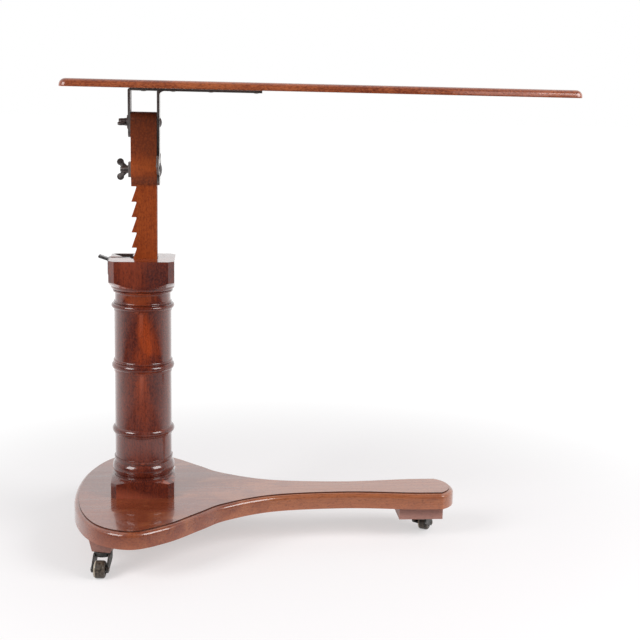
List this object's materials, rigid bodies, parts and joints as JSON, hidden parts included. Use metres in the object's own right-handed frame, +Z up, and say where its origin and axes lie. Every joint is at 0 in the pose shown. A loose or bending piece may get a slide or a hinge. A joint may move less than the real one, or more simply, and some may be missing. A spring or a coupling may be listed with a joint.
{
  "type": "reading table",
  "caption": "Adjustable mahogany reading table: a tilting top on a toothed post that slides in a turned column on a castored paddle-shaped base.",
  "frame": {"origin": "floor point under the middle of the outline seen from above", "axes": "+X along the long side of the top, away from the column; +Y across the top, away from the person who looks at the plain long side; +Z up"},
  "size_m": [0.772, 0.457, 0.773],
  "materials": {
    "top_wood": "French-polished mahogany, satin to glossy",
    "post_wood": "oiled and polished mahogany, warm orange-brown",
    "column_wood": "French-polished dark mahogany, glossy",
    "base_wood": "French-polished mahogany, glossy",
    "plain_wood": "unpolished hardwood",
    "forged_iron": "dark worn wrought iron",
    "bolt_iron": "dark worn iron",
    "nut_iron": "dark malleable iron",
    "castor_iron": "blackened iron",
    "screw_steel": "dull steel",
    "spring_steel": "bright steel wire",
    "wheel": "dark brown vulcanised composition"
  },
  "bodies": {
    "base": {"base_board": "base_wood", "column": "column_wood", "column_screws": "screw_steel", "latch_pin": "screw_steel", "latch_spring": "spring_steel", "lever_keeper": "forged_iron", "keeper_screws": "screw_steel", "castor_block_near": "base_wood", "castor_block_far": "base_wood", "castor_block_end": "base_wood", "block_screws": "screw_steel", "castor_plate_near": "castor_iron", "castor_plate_far": "castor_iron", "castor_plate_end": "castor_iron", "plate_screws": "screw_steel", "castor_pin_near": "castor_iron", "castor_pin_far": "castor_iron", "castor_pin_end": "castor_iron"},
    "post": {"ratchet_post": "post_wood", "post_guide": "plain_wood", "guide_screws": "screw_steel", "tilt_bolt": "bolt_iron", "tilt_washer": "bolt_iron", "clamp_bolt": "bolt_iron", "clamp_washer_plate": "bolt_iron"},
    "top": {"table_top": "top_wood", "clevis_bracket": "forged_iron", "bracket_screws": "screw_steel"},
    "latch": {"latch_lever": "forged_iron"},
    "tilt_nut": {"tilt_wing_nut": "nut_iron"},
    "clamp_nut": {"clamp_wing_nut": "nut_iron"},
    "castor_near": {"castor_horn_near": "castor_iron", "castor_axle_near": "screw_steel"},
    "wheel_near": {"castor_wheel_near": "wheel"},
    "castor_far": {"castor_horn_far": "castor_iron", "castor_axle_far": "screw_steel"},
    "wheel_far": {"castor_wheel_far": "wheel"},
    "castor_end": {"castor_horn_end": "castor_iron", "castor_axle_end": "screw_steel"},
    "wheel_end": {"castor_wheel_end": "wheel"}
  },
  "joints": [
    {"name": "post_height", "type": "slide", "parent": "base", "child": "post", "axis": [0, 0, 1], "range_m": [-0.1, 0.2]},
    {"name": "top_tilt", "type": "hinge", "parent": "post", "child": "top", "pos_m": [-0.271, 0, 0.7075], "axis": [1, 0, 0], "range_deg": [-30, 30]},
    {"name": "latch_release", "type": "hinge", "parent": "base", "child": "latch", "pos_m": [-0.294, 0, 0.45], "axis": [0, -1, 0], "range_deg": [0, 16], "stiffness_Nm_per_rad": 0.6, "springref_deg": -11.46, "deforming": ["latch_spring"]},
    {"name": "tilt_nut_turn", "type": "hinge", "parent": "post", "child": "tilt_nut", "pos_m": [-0.2952, 0, 0.7075], "axis": [1, 0, 0], "range_deg": [0, 360]},
    {"name": "clamp_nut_turn", "type": "hinge", "parent": "post", "child": "clamp_nut", "pos_m": [-0.2931, 0, 0.6315], "axis": [1, 0, 0], "range_deg": [0, 360]},
    {"name": "castor_swivel_near", "type": "hinge", "parent": "base", "child": "castor_near", "pos_m": [-0.328, -0.148, 0.034], "axis": [0, 0, 1], "continuous": true},
    {"name": "wheel_roll_near", "type": "hinge", "parent": "castor_near", "child": "wheel_near", "pos_m": [-0.33134, -0.17177, 0.014], "axis": [0.9903, -0.1392, 0], "continuous": true},
    {"name": "castor_swivel_far", "type": "hinge", "parent": "base", "child": "castor_far", "pos_m": [-0.328, 0.148, 0.034], "axis": [0, 0, 1], "continuous": true},
    {"name": "wheel_roll_far", "type": "hinge", "parent": "castor_far", "child": "wheel_far", "pos_m": [-0.33699, 0.17025, 0.014], "axis": [-0.9272, -0.3746, 0], "continuous": true},
    {"name": "castor_swivel_end", "type": "hinge", "parent": "base", "child": "castor_end", "pos_m": [0.212, 0, 0.034], "axis": [0, 0, 1], "continuous": true},
    {"name": "wheel_roll_end", "type": "hinge", "parent": "castor_end", "child": "wheel_end", "pos_m": [0.22327, 0.02119, 0.014], "axis": [-0.8829, 0.4695, 0], "continuous": true}
  ]
}
